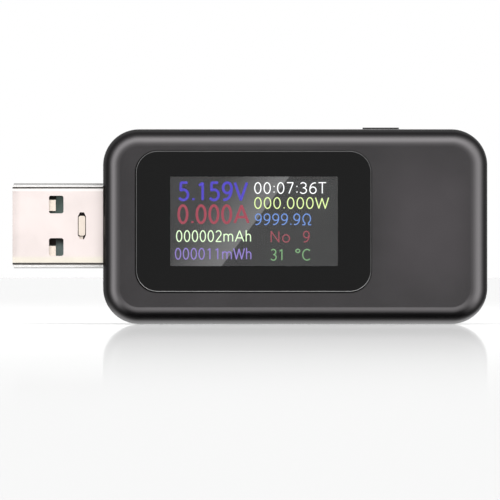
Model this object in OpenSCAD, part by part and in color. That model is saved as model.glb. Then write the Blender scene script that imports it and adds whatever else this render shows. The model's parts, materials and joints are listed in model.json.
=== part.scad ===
// USB power meter: an in-line stick with a type A plug on its left end, a type A socket in its
// right end, a colour display behind a window in its front face and one push button on its top edge.
//
// Each module is drawn lying down: X runs along the stick from plug to socket, Y is the height
// and Z points out of the display. stand() then turns it up on its long edge, so that in the
// part's own frame +X is the socket end, -Y is the display side and +Z is up.

/* [Casing] */
// Length of the casing without the plug
body_l = 54.2; // [52.2:0.5:60.2]
// Height of the casing
body_h = 27.5; // [27.1:0.2:30.1]
// Thickness of the casing, both halves together
body_t = 13; // [13:0.2:15]
// Wall thickness of both halves
wall = 1.5; // [1.4:0.1:1.6]
// Radius of the casing's four corners, seen from the front
corner_r = 5.1; // [4.6:0.1:5.6]
// Radius of the rounded edge between each face and the sides
edge_r = 2.4; // [1.6:0.1:2.6]

/* [Window] */
// Length of the display window's cover lens
lens_l = 33.3; // [32:0.1:34]
// Height of the cover lens
lens_h = 20; // [19:0.1:20.4]
// Corner radius of the cover lens
lens_r = 3.1; // [2:0.1:4]
// Height of the lens centre above the long edge that the meter stands on
lens_up = 14.45; // [13.75:0.1:14.75]
// Length of the clear area in the black mask
view_l = 23.7; // [22:0.1:24]
// Height of the clear area in the black mask
view_h = 12.7; // [12:0.05:13]

/* [Plug and socket] */
// How far the plug stands out of the casing
plug_out = 12.8; // [11.75:0.05:13]
// How far the plug's centre line is above the casing's
plug_rise = 0.13; // [0:0.01:0.3]
// Width of the plug's metal shell, set by the connector standard
plug_w = 12; // [12:0.1:12]
// Thickness of the plug's metal shell, set by the connector standard
plug_t = 4.5; // [4.5:0.1:4.5]
// Outer width of the socket's metal shell
socket_w = 13.2; // [13.1:0.05:13.3]
// Outer height of the socket's metal shell
socket_t = 5.7; // [5.7:0.05:5.75]
// Sheet thickness of both metal shells
sheet = 0.3; // [0.28:0.01:0.32]

/* [Button] */
// Length of the push button along the top edge
button_l = 5.3; // [4:0.1:5.8]
// Width of the push button across the top edge
button_w = 2.6; // [2:0.1:3]
// How far the button stands out of the top edge
button_out = 0.25; // [0.2:0.05:0.6]
// How far the button and the switch plunger travel
button_travel = 0.25; // [0.15:0.05:0.3]

/* [Hidden] */
$fn = 64;

// Places along X
total_l = body_l + plug_out;
tip_x = -total_l / 2;
left_x = tip_x + plug_out;
right_x = total_l / 2;
body_x = (left_x + right_x) / 2;
lens_x = left_x + 21.2;
view_x = lens_x + 0.1;
button_x = left_x + 39.2;

// Places across the height
mid_y = body_h / 2;
plug_y = mid_y + plug_rise;
view_y = lens_up + 0.05;

// Places through the thickness, from the parting plane towards the display side
half_t = body_t / 2;
inner_z = half_t - wall;
board_t = 1;
board_back = socket_t / 2;
board_front = board_back + board_t;
gap = 0.1;
lens_t = 0.7;
mask_t = 0.1;
tape_t = 0.1;
lens_sunk = 0.05;
lens_back = half_t - lens_sunk - lens_t;
mask_back = lens_back - mask_t;
pocket_floor = mask_back - tape_t;
lcd_front = pocket_floor + 0.05;
foam_t = 0.25;
lcd_back = board_front + foam_t;

// Seam between the two halves
tongue_t = 0.65;
tongue_h = 0.9;
tongue_gap = 0.05;
seam_step = 0.12;
seam_h = 0.25;

// Contacts of both connectors, as offsets from the centre line
contact_places = [3.5, 1, -1, -3.5];
contact_names = ["power", "data_minus", "data_plus", "ground"];
contact_w = 1;
leaf_t = 0.2;

// Locating posts in the front half, and the board holes that they enter
post_places = [
    [left_x + 3.7, 4],
    [left_x + 3.7, body_h - 4],
    [right_x - 3.9, 4],
    [right_x - 3.9, body_h - 4]
];
post_d = 1.5;
shoulder_d = 2.8;
post_hole_d = 1.7;

// Snap hooks on the rear half's two long walls
hook_places = [left_x + 12, right_x - 22];
hook_w = 4;
hook_t = 0.8;
barb = 0.35;

// ---------------------------------------------------------------- shared shapes

// The four quadrants of a rectangle: the signs of a corner and the turn that faces it
quadrants = [[1, 1, 0], [-1, 1, 90], [-1, -1, 180], [1, -1, 270]];

module stand() rotate([90, 0, 0]) children();

module quarter_disc(r) {
    intersection() {
        circle(r);
        square(r);
    }
}

module rounded_rect(l, h, r) {
    square([l - 2 * r, h], center = true);
    for (s = [-1, 1]) translate([s * (l - r) / 2, 0]) square([r, h - 2 * r], center = true);
    for (q = quadrants)
        translate([q[0] * (l / 2 - r), q[1] * (h / 2 - r)]) rotate(q[2]) quarter_disc(r);
}

// A plate with rounded corners, from height z0 up to z1
module plate(l, h, r, z0, z1) {
    translate([0, 0, z0]) linear_extrude(z1 - z0) rounded_rect(l, h, r);
}

// A block given by its lowest and highest corners
module block(low, high) {
    translate(low) cube(high - low);
}

// Cross-section of one half of the casing's rim, from the corner's centre outwards
module rim_section(r, d, round_r) {
    square([r - round_r, d]);
    translate([r - round_r, 0]) square([round_r, d - round_r]);
    translate([r - round_r, d - round_r]) quarter_disc(round_r);
}

// A plate whose upper edge is rounded all the way round
module pillow(l, h, r, d, round_r) {
    straight_l = l - 2 * r;
    straight_h = h - 2 * r;
    linear_extrude(d) square([straight_l, straight_h], center = true);
    for (q = quadrants)
        translate([q[0] * straight_l / 2, q[1] * straight_h / 2]) rotate(q[2])
            rotate_extrude(angle = 90) rim_section(r, d, round_r);
    for (turn = [0, 180]) rotate(turn) {
        translate([-straight_l / 2, straight_h / 2, 0]) rotate([90, 0, 90])
            linear_extrude(straight_l) rim_section(r, d, round_r);
        translate([straight_l / 2, straight_h / 2, 0]) rotate([90, 0, 0])
            linear_extrude(straight_h) rim_section(r, d, round_r);
    }
}

// The outline of a strip of even thickness t along a line of points
function unit(v) = v / norm(v);
function side_of(v) = [-v[1], v[0]];
function strip_side(p, s, t) = [
    for (i = [0 : len(p) - 1])
        let (
            before = unit(p[max(i, 1)] - p[max(i, 1) - 1]),
            after = unit(p[min(i + 1, len(p) - 1)] - p[min(i + 1, len(p) - 1) - 1]),
            across = unit(side_of(before) + side_of(after))
        )
        p[i] + s * t / 2 / (across * side_of(before)) * across
];
function reversed(p) = [for (i = [len(p) - 1 : -1 : 0]) p[i]];
function strip(p, t) = concat(strip_side(p, 1, t), reversed(strip_side(p, -1, t)));

// A bent sheet: the strip along points [x, z], w wide along Y and centred on y
module bent_sheet(p, t, w, y) {
    translate([0, y + w / 2, 0]) rotate([90, 0, 0]) linear_extrude(w) polygon(strip(p, t));
}

// ---------------------------------------------------------------- casing

module casing_plate(inset, z0, z1) {
    translate([body_x, mid_y, 0])
        plate(body_l - 2 * inset, body_h - 2 * inset, corner_r - inset, z0, z1);
}

module half_outside() {
    translate([body_x, mid_y, 0]) pillow(body_l, body_h, corner_r, half_t, edge_r);
}

module connector_openings() {
    // The plug's slot in the left end and the socket's slot in the right end
    fit = 2 * gap;
    translate([left_x - 1, plug_y, 0]) rotate([90, 0, 90])
        plate(plug_w + fit, plug_t + fit, 0.8, 0, wall + 1.5);
    translate([right_x - wall - 0.5, mid_y, 0]) rotate([90, 0, 90])
        plate(socket_w + fit, socket_t + fit, 0.7, 0, wall + 1.5);
}

module button_opening() {
    fit = 2 * gap;
    translate([button_x, body_h - wall - 1, 0]) rotate([-90, 0, 0])
        plate(button_l + fit, button_w + fit, 0.5, 0, wall + 2);
}

module front_shell() color([0.16, 0.16, 0.17]) stand() {
    difference() {
        half_outside();
        casing_plate(wall, -1, inner_z);
        casing_plate(wall - tongue_t - 2 * tongue_gap, -1, tongue_h + 2 * tongue_gap);
        translate([lens_x, lens_up, 0])
            plate(lens_l + 2 * gap, lens_h + 2 * gap, lens_r + gap, pocket_floor, half_t + 1);
        translate([lens_x, lens_up, 0]) plate(lens_l - 2.6, lens_h - 2.5, 1.5, inner_z - 1, half_t);
        connector_openings();
        button_opening();
        // Pockets for the barbs of the rear half's hooks
        for (x = hook_places, up = [0, 1])
            translate([x, mid_y, 0]) rotate(180 * up)
                block(
                    [-hook_w / 2 - 0.2, mid_y - wall - 1, 1.9],
                    [hook_w / 2 + 0.2, mid_y - wall + barb + 0.1, 3]
                );
    }
    for (p = post_places) translate([p[0], p[1], 0]) {
        translate([0, 0, board_back - 0.6]) cylinder(d = post_d, h = inner_z - board_back + 0.7);
        translate([0, 0, board_front]) cylinder(d = shoulder_d, h = inner_z - board_front + 0.1);
    }
}

module rear_shell() color([0.15, 0.15, 0.16]) stand() mirror([0, 0, 1]) {
    difference() {
        half_outside();
        casing_plate(wall, -1, inner_z);
        // The shadow line round the seam
        difference() {
            casing_plate(-1, -1, seam_h);
            casing_plate(seam_step, -2, seam_h + 1);
        }
        connector_openings();
        button_opening();
    }
    seam_tongue();
    for (x = hook_places, up = [0, 1]) translate([x, mid_y, 0]) rotate(180 * up) snap_hook();
    for (p = post_places) translate([p[0], p[1], 0]) board_pillar();
}

// The rim that enters the front half. It stops beside the connectors and the button.
module seam_tongue() {
    difference() {
        casing_plate(wall - tongue_t, -tongue_h, 0);
        casing_plate(wall, -tongue_h - 1, 1);
        connector_openings();
        button_opening();
    }
}

// A cantilever against the long wall, drawn on the upper one, with its barb in the front half
module snap_hook() {
    root = mid_y - wall;
    translate([-hook_w / 2, 0, 0]) rotate([90, 0, 90]) linear_extrude(hook_w) polygon([
        [root - hook_t, 3.2], [root, 3.2], [root, 2.2], [root - 0.15, 1.6], [root - 0.15, -2],
        [root + barb, -2.05], [root + barb, -2.3], [root - 0.15, -2.7], [root - hook_t, -2.7]
    ]);
    block([-hook_w / 2, root - hook_t, 3.1], [hook_w / 2, root, inner_z]);
}

// A tube that holds the board down on the front half's shoulders
module board_pillar() {
    difference() {
        translate([0, 0, -board_back]) cylinder(d = 3, h = inner_z + board_back);
        translate([0, 0, -board_back - 1]) cylinder(d = post_hole_d, h = 3);
    }
}

// ---------------------------------------------------------------- window and display

lens_edge = 0.15;

module window_lens() color([0.75, 0.8, 0.82, 0.4]) stand() translate([lens_x, lens_up, 0]) {
    plate(lens_l, lens_h, lens_r, lens_back, half_t - lens_sunk - lens_edge);
    plate(lens_l - 2 * lens_edge, lens_h - 2 * lens_edge, lens_r - lens_edge,
        half_t - lens_sunk - lens_edge, half_t - lens_sunk);
}

module window_mask() color([0.04, 0.04, 0.04]) stand() difference() {
    translate([lens_x, lens_up, 0]) plate(lens_l, lens_h, lens_r, mask_back, lens_back);
    translate([view_x, view_y, 0]) plate(view_l, view_h, 0.2, mask_back - 1, lens_back + 1);
}

module window_tape() color([0.1, 0.1, 0.1]) stand() translate([lens_x, lens_up, 0]) difference() {
    plate(lens_l, lens_h, lens_r, pocket_floor, mask_back);
    plate(lens_l - 2.4, lens_h - 2.3, 1.6, pocket_floor - 1, mask_back + 1);
}

// The display module's layers, from the front: polariser, two glasses, light guide in its frame
polariser_t = 0.15;
glass_t = 0.4;
lcd_h = 15.6;
lcd_left = view_x - view_l / 2 - 1.6;
lcd_right = lcd_left + 28.1;
front_glass_right = lcd_right - 2;
front_glass_z = lcd_front - polariser_t - glass_t;
rear_glass_z = front_glass_z - glass_t;
frame_rim = 0.6;
frame_floor = 0.15;

module lcd_layer(x0, x1, shrink, z0, z1) {
    block([x0 + shrink, view_y - lcd_h / 2 + shrink, z0], [x1 - shrink, view_y + lcd_h / 2 - shrink, z1]);
}

module lcd_polariser() color([0.2, 0.2, 0.22]) stand()
    lcd_layer(lcd_left, front_glass_right, 0.5, lcd_front - polariser_t, lcd_front);

module lcd_front_glass() color([0.6, 0.7, 0.7]) stand()
    lcd_layer(lcd_left, front_glass_right, 0, front_glass_z, lcd_front - polariser_t);

module lcd_rear_glass() color([0.55, 0.65, 0.68]) stand()
    lcd_layer(lcd_left, lcd_right, 0, rear_glass_z, front_glass_z);

module lcd_driver_chip() color([0.12, 0.12, 0.14]) stand()
    block(
        [front_glass_right + 0.4, view_y - 5, front_glass_z],
        [front_glass_right + 1.2, view_y + 5, front_glass_z + 0.3]
    );

module lcd_light_guide() color([0.95, 0.95, 0.92]) stand()
    lcd_layer(lcd_left, lcd_right, frame_rim + 0.05, lcd_back + frame_floor, rear_glass_z);

module lcd_frame() color([0.9, 0.9, 0.88]) stand() difference() {
    lcd_layer(lcd_left, lcd_right, 0, lcd_back, rear_glass_z);
    lcd_layer(lcd_left, lcd_right, frame_rim, lcd_back + frame_floor, rear_glass_z + 1);
}

// The flexible cable: bonded to the rear glass, then an S bend down to the board
flex_t = 0.1;
flex_w = 9;
flex_bend = 0.45;
flex_top = front_glass_z + flex_t / 2;
flex_low = board_front + flex_t / 2;
flex_x = lcd_right + 0.05;

function arc(cx, cz, r, from, to, steps) = [
    for (i = [0 : steps])
        let (a = from + (to - from) * i / steps) [cx + r * cos(a), cz + r * sin(a)]
];

module lcd_flex() color([0.75, 0.45, 0.15]) stand() bent_sheet(concat(
    [[lcd_right - 0.6, flex_top]],
    arc(flex_x, flex_top - flex_bend, flex_bend, 90, 0, 6),
    arc(flex_x + 2 * flex_bend, flex_low + flex_bend, flex_bend, 180, 270, 6),
    [[flex_x + 3.6, flex_low]]
), flex_t, flex_w, view_y);

module lcd_foam_pad() color([0.2, 0.2, 0.2]) stand()
    block([lcd_left + 3, view_y - 5.5, board_front], [lcd_right - 5, view_y + 5.5, lcd_back]);

// ---------------------------------------------------------------- board and its components

plug_tail_x = tip_x + 19.5;
socket_tail_x = right_x - 13.75;
tail_w = 0.6;
tail_t = 0.25;
leg_reach = board_front + 0.45;
plug_leg_x = tip_x + 17.3;
socket_leg_places = [right_x - 11.5, right_x - 4.5];
leg_l = 1.6;

module main_board() color([0.05, 0.28, 0.12]) stand() difference() {
    translate([left_x + 1.95 + 25.05, mid_y, 0])
        plate(50.1, body_h - 3.8, 3.2, board_back, board_front);
    for (p = post_places) through_hole(p[0], p[1], post_hole_d);
    for (y = contact_places) {
        through_hole(plug_tail_x + tail_t / 2, plug_y + y, 0.9);
        through_hole(socket_tail_x + tail_t / 2, mid_y + y, 0.9);
    }
    for (s = [-1, 1]) {
        leg_slot(plug_leg_x, plug_y + s * (plug_w - sheet) / 2);
        for (x = socket_leg_places) leg_slot(x, mid_y + s * (socket_w - sheet) / 2);
        through_hole(button_x + s * switch_pin_x, switch_pin_y, 1);
    }
}

module through_hole(x, y, d) {
    translate([x, y, board_back - 1]) cylinder(d = d, h = board_t + 2);
}

module leg_slot(x, y) {
    block([x - 0.2, y - 0.35, board_back - 1], [x + leg_l + 0.2, y + 0.35, board_front + 1]);
}

// Components on the back of the board are drawn upwards from it and then turned over
module on_board(x, y, turn = 0) {
    translate([x, y, board_back]) rotate(turn) mirror([0, 0, 1]) children();
}

// A moulded package standing a little clear of the board
module chip_body(l, w, h) {
    plate(l, w, 0.15, 0.1, h);
}

// One row of bent pins along the +Y side of a package w wide
module pin_row(count, pitch, pin_w, w, h) {
    knee = [[w / 2, h / 2], [w / 2 + 0.35, h / 2], [w / 2 + 0.5, 0.07], [w / 2 + 0.95, 0.07]];
    for (i = [0 : count - 1])
        translate([(i - (count - 1) / 2) * pitch - pin_w / 2, 0, 0]) rotate([90, 0, 90])
            linear_extrude(pin_w) polygon(strip(knee, 0.14));
}

mcu = [left_x + 21, 16.5];
amplifier = [left_x + 31, 20.5];
memory = [left_x + 31, 14];
regulator = [left_x + 12.5, 21.5];
shunt = [left_x + 21, 5.5];
diode_place = [left_x + 12, 5.5];
coil_place = [left_x + 13, 16];
crystal_place = [left_x + 21, 23.3];
thermistor_place = [left_x + 30, 4];

module microcontroller() color([0.1, 0.1, 0.1]) stand() on_board(mcu[0], mcu[1]) chip_body(7, 7, 1.4);

module microcontroller_pins() color([0.8, 0.8, 0.8]) stand() on_board(mcu[0], mcu[1])
    for (turn = [0 : 90 : 270]) rotate(turn) pin_row(8, 0.8, 0.3, 7, 1.4);

module amplifier_chip() color([0.1, 0.1, 0.1]) stand() on_board(amplifier[0], amplifier[1])
    chip_body(4.9, 3.9, 1.5);

module amplifier_pins() color([0.8, 0.8, 0.8]) stand() on_board(amplifier[0], amplifier[1])
    for (turn = [0, 180]) rotate(turn) pin_row(4, 1.27, 0.4, 3.9, 1.5);

module memory_chip() color([0.1, 0.1, 0.1]) stand() on_board(memory[0], memory[1])
    chip_body(3, 3, 1);

module memory_pins() color([0.8, 0.8, 0.8]) stand() on_board(memory[0], memory[1])
    for (turn = [0, 180]) rotate(turn) pin_row(4, 0.65, 0.25, 3, 1);

module regulator_chip() color([0.1, 0.1, 0.1]) stand() on_board(regulator[0], regulator[1])
    chip_body(4.5, 2.5, 1.5);

module regulator_pins() color([0.8, 0.8, 0.8]) stand() on_board(regulator[0], regulator[1]) {
    pin_row(3, 1.5, 0.45, 2.5, 1);
    rotate(180) pin_row(1, 1, 1.7, 2.5, 1);
}

// A two-ended part: its body between two end caps. caps = true draws the caps alone.
module two_ended(l, w, h, cap, caps) {
    if (caps) for (s = [-1, 1]) translate([s * (l - cap) / 2, 0, h / 2]) cube([cap, w, h], center = true);
    else translate([0, 0, h / 2]) cube([l - 2 * cap, w, h * 0.94], center = true);
}

module shunt_resistor() color([0.15, 0.15, 0.15]) stand() on_board(shunt[0], shunt[1])
    two_ended(6.4, 3.2, 0.8, 1.1, false);

module shunt_terminals() color([0.75, 0.6, 0.5]) stand() on_board(shunt[0], shunt[1])
    two_ended(6.4, 3.2, 0.8, 1.1, true);

module diode() color([0.12, 0.12, 0.12]) stand() on_board(diode_place[0], diode_place[1])
    plate(4.3, 2.6, 0.2, 0.2, 2.2);

module diode_terminals() color([0.8, 0.8, 0.8]) stand() on_board(diode_place[0], diode_place[1])
    for (turn = [0, 180]) rotate(turn) block([1.3, -0.7, 0], [2.5, 0.7, 0.2]);

module inductor() color([0.3, 0.3, 0.32]) stand() on_board(coil_place[0], coil_place[1])
    difference() {
        plate(4, 4, 0.6, 0, 2);
        translate([0, 0, 1.8]) difference() {
            cylinder(d = 3.2, h = 1);
            translate([0, 0, -1]) cylinder(d = 2.2, h = 3);
        }
    }

module crystal() color([0.8, 0.8, 0.82]) stand() on_board(crystal_place[0], crystal_place[1]) {
    plate(3.2, 2.5, 0.2, 0, 0.4);
    plate(2.9, 2.2, 0.4, 0.4, 0.8);
}

// Small two-ended parts stand in rows: [x from the casing's left end, height, turn]
capacitor_places = concat(
    [for (i = [0 : 2]) [left_x + 16 + 1.6 * i, 10.2, 90]],
    [for (i = [0 : 3]) [left_x + 35.5, 9 + 2.4 * i, 0]]
);
resistor_places = concat(
    [for (i = [0 : 3]) [left_x + 22 + 1.5 * i, 10.2, 90]],
    [for (i = [0 : 3]) [left_x + 27 + 1.5 * i, 7.5, 90]]
);

module small_parts(places, l, w, h, cap, caps) {
    for (p = places) on_board(p[0], p[1], p[2]) two_ended(l, w, h, cap, caps);
}

module capacitors() color([0.7, 0.55, 0.4]) stand()
    small_parts(capacitor_places, 1.6, 0.8, 0.8, 0.35, false);

module capacitor_terminals() color([0.82, 0.82, 0.82]) stand()
    small_parts(capacitor_places, 1.6, 0.8, 0.8, 0.35, true);

module resistors() color([0.1, 0.1, 0.1]) stand()
    small_parts(resistor_places, 1.6, 0.8, 0.5, 0.3, false);

module resistor_terminals() color([0.82, 0.82, 0.82]) stand()
    small_parts(resistor_places, 1.6, 0.8, 0.5, 0.3, true);

module thermistor() color([0.2, 0.25, 0.35]) stand() on_board(thermistor_place[0], thermistor_place[1])
    block([-1, -0.6, 0], [1, 0.6, 0.9]);

// ---------------------------------------------------------------- button and its switch

// Heights, from the switch up to the button's top
cap_bottom = body_h - 2.8;
cap_flange_low = body_h - 2.2;
cap_flange_high = body_h - wall - gap;
switch_top = body_h - 3.7;
switch_bottom = switch_top - 3.1;
cover_t = 0.2;
dome_floor = switch_top - 1.4;
dome_h = 0.35;
dome_t = 0.08;
dome_r = 2.1;
switch_l = 6;
switch_w = socket_t;
switch_pin_x = 2.2;
switch_pin_y = switch_bottom + 0.8;
plunger_d = 3;
plunger_fit = 0.05;

// Draws along +Z something that points up out of the casing's top edge, at the button's place
module upwards(y) {
    translate([button_x, y, 0]) rotate([-90, 0, 0]) children();
}

module button_cap() color([0.14, 0.14, 0.15]) stand() {
    upwards(cap_flange_low)
        plate(button_l, button_w, 0.4, 0, body_h + button_out - 0.2 - cap_flange_low);
    upwards(body_h + button_out - 0.2) plate(button_l - 0.2, button_w - 0.2, 0.3, 0, 0.2);
    upwards(cap_flange_low) plate(button_l + 1.5, button_w + 1.4, 0.5, 0, cap_flange_high - cap_flange_low);
    upwards(cap_bottom) cylinder(d = 2.4, h = cap_flange_low - cap_bottom);
}

module switch_base() color([0.1, 0.1, 0.1]) stand() difference() {
    upwards(switch_bottom) translate([0, 0, (switch_top - switch_bottom) / 2])
        cube([switch_l, switch_w, switch_top - switch_bottom], center = true);
    upwards(dome_floor) cylinder(r = 2.3, h = 3);
    for (s = [-1, 1])
        translate([button_x + s * switch_pin_x, switch_pin_y, board_back - 1.5]) cylinder(d = 0.8, h = 3);
}

module switch_cover() color([0.75, 0.75, 0.77]) stand() {
    difference() {
        upwards(switch_top) translate([0, 0, cover_t / 2])
            cube([switch_l + 2 * cover_t, switch_w, cover_t], center = true);
        upwards(switch_top - 1) cylinder(d = plunger_d + 2 * plunger_fit, h = 3);
    }
    for (s = [-1, 1]) translate([button_x + s * (switch_l + cover_t) / 2, switch_top - 0.9, 0])
        cube([cover_t, 1.8, switch_w], center = true);
}

// A shallow snap dome: a thin arc turned about the button's axis
module switch_dome() color([0.8, 0.78, 0.72]) stand() upwards(dome_floor) {
    ball = (dome_r * dome_r + dome_h * dome_h) / (2 * dome_h);
    low = dome_h - ball;
    rim = asin((ball - dome_h) / ball);
    outside = arc(0, low, ball, 90, rim, 8);
    inside = arc(0, low, ball - dome_t, rim, 90, 8);
    rotate_extrude() polygon(concat(outside, [for (p = inside) [max(p[0], 0), max(p[1], 0)]]));
}

module switch_plunger() color([0.85, 0.82, 0.75]) stand() {
    upwards(dome_floor + dome_h) cylinder(d = 1.2, h = 0.5);
    upwards(dome_floor + dome_h + 0.4) cylinder(d = 4.2, h = switch_top - 0.05 - dome_floor - dome_h - 0.4);
    upwards(switch_top - 0.1) cylinder(d = plunger_d, h = cap_bottom - switch_top + 0.1);
}

module switch_pins() color([0.8, 0.8, 0.8]) stand()
    for (s = [-1, 1]) translate([button_x + s * switch_pin_x, switch_pin_y, board_back - 1.4])
        cylinder(d = 0.6, h = leg_reach - board_back + 1.4);

// ---------------------------------------------------------------- plug

plug_shell_l = 18.6;
plug_round = 0.75;
insert_gap = 0.02;
insert_half_w = plug_w / 2 - sheet - insert_gap;
insert_top = plug_t / 2 - sheet - insert_gap;
base_x = tip_x + 10;
base_end = tip_x + 19.2;
tongue_x = tip_x + 0.35;

// Latch windows: their near edge from the tip, length and width, and offset from the centre line
latch_x = tip_x + 5.15;
latch_l = 2.05;
latch_w = 2.5;
latch_places = [3, -3];
lock_x = tip_x + 9.8;

// The narrow lock slot with tapered ends, seen from the front
module lock_outline(w, l, taper) {
    polygon([
        [-w / 2, l / 2 - taper], [-w / 4, l / 2], [w / 4, l / 2], [w / 2, l / 2 - taper],
        [w / 2, taper - l / 2], [w / 4, -l / 2], [-w / 4, -l / 2], [-w / 2, taper - l / 2]
    ]);
}

// The pressed crease along each edge of the shell's broad faces, and the cut across the tip's corners
crease_in = 0.61;
crease_w = 0.34;
crease_deep = 0.14;
corner_cut = [0.22, 0.6];

// The line where the bent sheet's ends meet, with one dovetail
seam_line = [[0, 0], [5.6, 0], [5.2, 1.3], [8.4, 1.3], [8, 0], [plug_shell_l, 0]];
slit = 0.08;

module plug_shell() color([0.86, 0.84, 0.82]) stand() {
    difference() {
        translate([tip_x, plug_y, 0]) rotate([90, 0, 90]) linear_extrude(plug_shell_l) difference() {
            rounded_rect(plug_w, plug_t, plug_round);
            rounded_rect(plug_w - 2 * sheet, plug_t - 2 * sheet, plug_round - sheet);
            for (s = [-1, 1], face = [0, 180]) rotate(face)
                translate([s * (plug_w / 2 - crease_in), plug_t / 2])
                    polygon([[-crease_w / 2, 0], [0, -crease_deep], [crease_w / 2, 0], [0, 1]]);
        }
        for (s = [-1, 1]) translate([tip_x, plug_y + s * plug_w / 2, -plug_t]) linear_extrude(2 * plug_t)
            polygon([
                [-1, -s * corner_cut[1]], [0, -s * corner_cut[1]], [corner_cut[0], 0], [0, s], [-1, s]
            ]);
        for (y = latch_places)
            translate([latch_x + latch_l / 2, plug_y + y, 0]) plate(latch_l, latch_w, 0.3, -plug_t, plug_t);
        translate([lock_x, plug_y, 0]) linear_extrude(plug_t) lock_outline(1.15, 3.8, 0.6);
        translate([tip_x, plug_y, -plug_t]) for (i = [0 : len(seam_line) - 2]) seam_piece(i);
    }
    for (s = [-1, 1]) translate([plug_leg_x, plug_y + s * (plug_w - sheet) / 2 - sheet / 2, 1.3])
        cube([leg_l, sheet, leg_reach - 1.3]);
}

module seam_piece(i) {
    a = seam_line[i];
    b = seam_line[i + 1];
    d = b - a;
    translate(a) rotate(atan2(d[1], d[0])) translate([-slit / 2, -slit / 2, 0])
        cube([norm(d) + slit, slit, plug_t]);
}

// What the latch windows show: an upright of the insert beside a pocket
upright_l = 0.95;
pocket_z = 0.6;
uprights = [[2.1, 3.65], [-4.35, -2.85]];

// The space inside the plug's shell, from x0 to x1
module plug_inside(x0, x1) {
    translate([x0, plug_y, 0]) rotate([90, 0, 90])
        plate(2 * insert_half_w, 2 * insert_top, plug_round - sheet, 0, x1 - x0);
}

module plug_insert() color([0.93, 0.89, 0.83]) stand() difference() {
    union() {
        intersection() {
            plug_inside(tongue_x, base_end);
            block([tongue_x - 1, 0, 0], [base_end + 1, body_h, plug_t]);
        }
        plug_inside(base_x, base_end);
        translate([lock_x, plug_y, 0]) linear_extrude(plug_t / 2 - 0.05) lock_outline(0.95, 2.8, 0.15);
    }
    // Pockets behind the latch windows
    for (i = [0, 1]) {
        y = plug_y + latch_places[i];
        difference() {
            block(
                [latch_x, y - latch_w / 2, pocket_z],
                [latch_x + latch_l, y + latch_w / 2, insert_top + 1]
            );
            block(
                [latch_x - 1, plug_y + uprights[i][0], 0],
                [latch_x + upright_l, plug_y + uprights[i][1], insert_top + 2]
            );
        }
    }
    // Channels for the contacts
    for (y = contact_places)
        block(
            [tongue_x - 1, plug_y + y - contact_w / 2 - 0.03, -0.08],
            [base_end + 1, plug_y + y + contact_w / 2 + 0.03, 0.22]
        );
}

// A flat strip in its channel, ending in a tail through the board. i counts along contact_places.
module plug_contact(i) {
    y = plug_y + contact_places[i];
    start = tongue_x + (i == 0 || i == 3 ? 0.8 : 1.8);
    color([0.85, 0.68, 0.3]) stand() {
        block([start, y - contact_w / 2, -0.05], [plug_tail_x + tail_t, y + contact_w / 2, 0.2]);
        block([plug_tail_x, y - tail_w / 2, 0], [plug_tail_x + tail_t, y + tail_w / 2, leg_reach]);
    }
}

// ---------------------------------------------------------------- socket

mouth_x = right_x - 0.1;
socket_back = right_x - 13.4;
socket_base_end = right_x - 9.1;
socket_round = 0.6;
socket_tongue_end = mouth_x - 0.65;
socket_tongue_low = -1.9;
socket_tongue_high = -0.06;
spring_l = 5.6;
spring_w = 2.2;
spring_places = [-2.9, 2.9];
spring_root = mouth_x - 2.2;

module socket_shell() color([0.82, 0.82, 0.84]) stand() {
    difference() {
        translate([socket_back, mid_y, 0]) rotate([90, 0, 90]) linear_extrude(mouth_x - socket_back)
            difference() {
                rounded_rect(socket_w, socket_t, socket_round);
                rounded_rect(socket_w - 2 * sheet, socket_t - 2 * sheet, socket_round - sheet);
            }
        for (y = spring_places, s = [-1, 1])
            translate([spring_root - spring_l / 2, mid_y + y, s * socket_t / 2])
                cube([spring_l, spring_w + 0.8, 2], center = true);
    }
    for (x = socket_leg_places, s = [-1, 1])
        translate([x, mid_y + s * (socket_w - sheet) / 2 - sheet / 2, 1.5])
            cube([leg_l, sheet, leg_reach - 1.5]);
}

module socket_springs() color([0.82, 0.82, 0.84]) stand()
    for (y = spring_places, s = [0, 1]) mirror([0, 0, s]) spring_finger(mid_y + y);

// A finger in the shell's broad side, bent in from its root near the mouth
module spring_finger(y) {
    top = socket_t / 2 - sheet / 2;
    bent_sheet([
        [spring_root, top], [spring_root - 0.6, top], [spring_root - 2.6, top - 0.42],
        [spring_root - 3.6, top - 0.42], [spring_root - 5, top - 0.1]
    ], sheet, spring_w, y);
}

module socket_insert() color([0.93, 0.93, 0.9]) stand() difference() {
    union() {
        translate([socket_back, mid_y, 0]) rotate([90, 0, 90])
            plate(
                socket_w - 2 * sheet - 0.04, socket_t - 2 * sheet - 0.04, 0.3,
                0, socket_base_end - socket_back
            );
        block(
            [socket_base_end - 1, mid_y - 5.55, socket_tongue_low],
            [socket_tongue_end, mid_y + 5.55, socket_tongue_high]
        );
    }
    for (y = contact_places) block(
        [socket_back - 1, mid_y + y - contact_w / 2 - 0.05, socket_tongue_low + 0.9],
        [socket_tongue_end - 0.5, mid_y + y + contact_w / 2 + 0.05, socket_tongue_high + 0.02]
    );
}

// A leaf spring along the tongue that bulges towards the mating plug, ending in a board tail
module socket_contact(i) {
    y = mid_y + contact_places[i];
    low = socket_tongue_high - 0.45;
    reach = socket_tongue_end - (i == 0 || i == 3 ? 0.7 : 1.5);
    color([0.85, 0.68, 0.3]) stand() {
        bent_sheet([
            [socket_tail_x, low], [socket_base_end + 0.6, low], [reach - 2.6, low + 0.75],
            [reach - 1.8, low + 0.75], [reach - 0.5, low], [reach, low]
        ], leaf_t, contact_w, y);
        block([socket_tail_x, y - tail_w / 2, low], [socket_tail_x + tail_t, y + tail_w / 2, leg_reach]);
    }
}

// ---------------------------------------------------------------- which node to draw

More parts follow.
